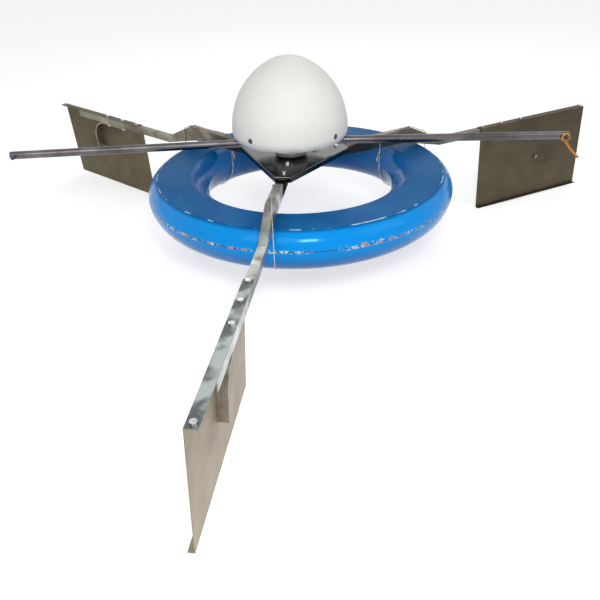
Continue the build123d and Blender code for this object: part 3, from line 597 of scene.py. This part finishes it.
# %% Plain mouldings and castings
def speckled(name, colour, rough, size=120.0):
    """A cast or moulded skin with a fine speckle in colour and height."""
    material, tree, skin, place = finish(name, colour, rough)
    grit = noise(tree, place, size)
    level = add_node(tree, "ShaderNodeMapRange", Value=grit, From_Min=0.35, From_Max=0.65)
    low = tuple(channel * 0.8 for channel in colour)
    tree.links.new(mixed(tree, level.outputs[0], low, colour), skin.inputs["Base Color"])
    bump(tree, skin, grit, 0.25, 0.0008)
    return material


dress(["gear_reducer"], speckled("reducer_paint", (0.18, 0.22, 0.24), 0.4))
dress(["motor", "terminal_box"], speckled("motor_paint", (0.16, 0.2, 0.23), 0.35))
dress(["motor_fan_cover"], speckled("fan_plastic", (0.05, 0.05, 0.05), 0.5))
dress(["cable_gland"], speckled("gland_nylon", (0.03, 0.03, 0.03), 0.45))
dress(["shaft_seal"], speckled("seal_rubber", (0.02, 0.02, 0.02), 0.7))
dress(["float_foam"], speckled("core_foam", (0.8, 0.76, 0.62), 0.9, size=300.0))

# %% [markdown]
# ## Strands laid round a line
# Rope and the twisted ends of the tie wires are the same thing at two sizes: a few strands
# that wind round one middle line. A Screw modifier would twist them only about a straight
# axis, so a geometry tree does it: it copies the line once for each strand, moves each copy
# sideways by an angle that grows along the line, and gives it a round section.

# %% Strand tree
def geometry_tree(name, inputs):
    """A geometry tree with its named inputs; returns the tree, its input and its output."""
    tree = bpy.data.node_groups.new(name, "GeometryNodeTree")
    tree.interface.new_socket("Geometry", in_out="INPUT", socket_type="NodeSocketGeometry")
    for socket, kind in inputs:
        tree.interface.new_socket(socket, in_out="INPUT", socket_type=kind)
    tree.interface.new_socket("Geometry", in_out="OUTPUT", socket_type="NodeSocketGeometry")
    return tree, tree.nodes.new("NodeGroupInput"), tree.nodes.new("NodeGroupOutput")


strand_tree, given, made = geometry_tree("laid_strands", [
    ("Strands", "NodeSocketInt"), ("Lay Radius", "NodeSocketFloat"),
    ("Pitch", "NodeSocketFloat"), ("Strand Radius", "NodeSocketFloat"),
    ("Step", "NodeSocketFloat"), ("Material", "NodeSocketMaterial"),
])
line = add_node(strand_tree, "GeometryNodeMeshToCurve", Mesh=given.outputs["Geometry"])
evened = add_node(strand_tree, "GeometryNodeResampleCurve", {"mode": "LENGTH"},
                  Curve=line.outputs[0], Length=given.outputs["Step"])
copies = add_node(strand_tree, "GeometryNodeDuplicateElements", {"domain": "SPLINE"},
                  Geometry=evened.outputs[0], Amount=given.outputs["Strands"])
along = strand_tree.nodes.new("GeometryNodeSplineParameter")
laps = maths(strand_tree, "DIVIDE", along.outputs["Length"], given.outputs["Pitch"])
share = maths(strand_tree, "DIVIDE", copies.outputs["Duplicate Index"], given.outputs["Strands"])
angle = maths(strand_tree, "MULTIPLY", maths(strand_tree, "ADD", laps, share), math.tau)
aside = strand_tree.nodes.new("GeometryNodeInputNormal").outputs[0]
ahead = strand_tree.nodes.new("GeometryNodeInputTangent").outputs[0]
square = vector_maths(strand_tree, "CROSS_PRODUCT", ahead, aside)
steps = []
for kind, direction in (("COSINE", aside), ("SINE", square)):
    amount = maths(strand_tree, "MULTIPLY", maths(strand_tree, kind, angle),
                   given.outputs["Lay Radius"])
    steps.append(vector_maths(strand_tree, "SCALE", direction, amount))
laid = add_node(strand_tree, "GeometryNodeSetPosition", Geometry=copies.outputs[0],
                Offset=vector_maths(strand_tree, "ADD", *steps))
section = add_node(strand_tree, "GeometryNodeCurvePrimitiveCircle", Resolution=8,
                   Radius=given.outputs["Strand Radius"])
solid = add_node(strand_tree, "GeometryNodeCurveToMesh", Curve=laid.outputs[0],
                 Profile_Curve=section.outputs[0], Fill_Caps=True)
real = add_node(strand_tree, "GeometryNodeRealizeInstances", Geometry=solid.outputs[0])
coated = add_node(strand_tree, "GeometryNodeSetMaterial", Geometry=real.outputs[0],
                  Material=given.outputs["Material"])
strand_tree.links.new(coated.outputs[0], made.inputs[0])
print("strand tree with", len(strand_tree.nodes), "nodes")


# %% Growing a piece from lines
def lines_object(name, lines):
    """An object whose mesh is only lines, each a list of points."""
    points, edges = [], []
    for one in lines:
        start = len(points)
        points += [tuple(point) for point in one]
        edges += [(start + k, start + k + 1) for k in range(len(one) - 1)]
    mesh = bpy.data.meshes.new(name + "_lines")
    mesh.from_pydata(points, edges, [])
    piece = bpy.data.objects.new(name, mesh)
    bpy.context.scene.collection.objects.link(piece)
    return piece


def grow(name, lines, tree, **values):
    """Runs a geometry tree on lines and keeps the result as a plain mesh object."""
    source = lines_object(name + "_source", lines)
    grower = source.modifiers.new("grow", "NODES")
    grower.node_group = tree
    for item in tree.interface.items_tree:
        key = item.name.replace(" ", "_")
        if item.item_type == "SOCKET" and item.in_out == "INPUT" and key in values:
            grower[item.identifier] = values[key]
    graph = bpy.context.evaluated_depsgraph_get()
    grown = bpy.data.meshes.new_from_object(source.evaluated_get(graph), depsgraph=graph)
    bpy.data.objects.remove(source)
    grown.name = name
    for face in grown.polygons:
        face.use_smooth = True
    piece = bpy.data.objects.new(name, grown)
    bpy.context.scene.collection.objects.link(piece)
    print(name, "has", len(grown.polygons), "faces")
    return piece


# %% [markdown]
# ## Rope of three strands
# Orange polyethylene rope has a hard, slightly shiny surface with fine threads along each
# strand. Fine noise, drawn out along the rope, stands for the threads.

# %% Rope piece
rope_paint, tree, skin, place = finish("rope_orange", (0.60, 0.22, 0.025), 0.45)
threads = noise(tree, place, 700.0, 2.0)
rope_tone = mixed(tree, threads, (0.40, 0.13, 0.012), (0.78, 0.34, 0.045))
rope_tone = mixed(tree, noise(tree, place, 60.0, 3.0, 0.5, 0.7), rope_tone, (0.36, 0.14, 0.06))
tree.links.new(rope_tone, skin.inputs["Base Color"])
bump(tree, skin, threads, 0.5, 0.0006)
dress(["rope_eye"], rope_paint)
strand_radius = rope_thick * 0.232
rope_piece = grow("rope_strands", [rope_path], strand_tree, Strands=3, Step=0.0012,
                  Lay_Radius=rope_thick / 2 - strand_radius, Pitch=rope_thick * 3.2,
                  Strand_Radius=strand_radius, Material=rope_paint)
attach(rope_piece, "stator")
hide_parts("rope_tail")

# %% [markdown]
# ## Twisted ends of the tie wires
# A wire loop is closed by twisting its two ends together, and the twist is bent out of the
# way. Three short lines, one on the inner side of each loop, go through the same tree with
# two strands in place of three.

# %% Wire twists
wire_skew = 8.0
half_loop = 0.1026
twist_line = ((0.0, 0.002), (-0.003, -0.006), (-0.007, -0.015), (-0.010, -0.025), (-0.010, -0.034))


def on_arm(turn, radius, height, aside=0.0):
    """A point given by an arm's turn, its distance out, its height and a step sideways."""
    angle = math.radians(turn)
    return Vector((
        radius * math.cos(angle) - aside * math.sin(angle),
        radius * math.sin(angle) + aside * math.cos(angle),
        height,
    ))


twist_lines = []
for side, turn in arm_turns.items():
    low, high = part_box(f"{side}_tie_wire")
    middle = (low + high) / 2
    outward = on_arm(turn + wire_skew, 1.0, 0.0)
    inner_run = Vector((middle.x, middle.y, 0)) - outward * half_loop
    twist_lines.append([inner_run + outward * out + Vector((0, 0, up)) for out, up in twist_line])
twists = grow("wire_twists", twist_lines, strand_tree, Strands=2, Step=0.001, Lay_Radius=0.0012,
              Pitch=0.0075, Strand_Radius=0.0011, Material=wire_steel)
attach(twists, "rotor")

# %% [markdown]
# ## Weld beads
# Each arm changes direction four times on its way over the ring. The channel is cut and
# closed there with a weld across its top, which shows as a row of small overlapping scales.
# One scale on many points is work for a geometry tree: the line across the arm is cut into
# even steps, a flattened ball goes on each point, and a seeded random size keeps the row
# from looking like a string of pearls.

# %% Bead tree
bead_tree, given, made = geometry_tree("weld_beads", [
    ("Bead Radius", "NodeSocketFloat"), ("Pitch", "NodeSocketFloat"),
    ("Unevenness", "NodeSocketFloat"), ("Flatness", "NodeSocketFloat"),
    ("Seed", "NodeSocketInt"), ("Material", "NodeSocketMaterial"),
])
line = add_node(bead_tree, "GeometryNodeMeshToCurve", Mesh=given.outputs["Geometry"])
stops = add_node(bead_tree, "GeometryNodeResampleCurve", {"mode": "LENGTH"},
                 Curve=line.outputs[0], Length=given.outputs["Pitch"])
ball = add_node(bead_tree, "GeometryNodeMeshIcoSphere", Radius=given.outputs["Bead Radius"],
                Subdivisions=2)
least = maths(bead_tree, "SUBTRACT", 1.0, given.outputs["Unevenness"])
most = maths(bead_tree, "ADD", 1.0, given.outputs["Unevenness"])
chance = bead_tree.nodes.new("FunctionNodeRandomValue")
chance.data_type = "FLOAT"
random_size = next(socket for socket in chance.outputs if socket.enabled)
floats = [socket for socket in chance.inputs if socket.enabled and socket.name in ("Min", "Max")]
bead_tree.links.new(least, floats[0])
bead_tree.links.new(most, floats[1])
bead_tree.links.new(given.outputs["Seed"], chance.inputs["Seed"])
flat_size = maths(bead_tree, "MULTIPLY", random_size, given.outputs["Flatness"])
sizes = add_node(bead_tree, "ShaderNodeCombineXYZ", X=random_size, Y=random_size, Z=flat_size)
scales = add_node(bead_tree, "GeometryNodeInstanceOnPoints", Points=stops.outputs[0],
                  Instance=ball.outputs[0], Scale=sizes.outputs[0])
real = add_node(bead_tree, "GeometryNodeRealizeInstances", Geometry=scales.outputs[0])
coated = add_node(bead_tree, "GeometryNodeSetMaterial", Geometry=real.outputs[0],
                  Material=given.outputs["Material"])
bead_tree.links.new(coated.outputs[0], made.inputs[0])
print("bead tree with", len(bead_tree.nodes), "nodes")

# %% Weld beads
arm_bends = ((0.212, 0.037), (0.295, 0.054), (0.450, 0.063), (0.575, 0.007))
half_weld = 0.0105
weld_steel = steel("weld_steel", (0.34, 0.32, 0.30), (0.14, 0.11, 0.09), 0, 0.34, fine=260.0,
                   patch_size=70.0, streak=0.15)
weld_lines = [
    [on_arm(turn, radius, height, step * half_weld) for step in (-1, 0, 1)]
    for turn in arm_turns.values() for radius, height in arm_bends
]
welds = grow("arm_welds", weld_lines, bead_tree, Bead_Radius=0.0019, Pitch=0.0014,
             Unevenness=0.14, Flatness=0.5, Seed=7, Material=weld_steel)
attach(welds, "rotor")
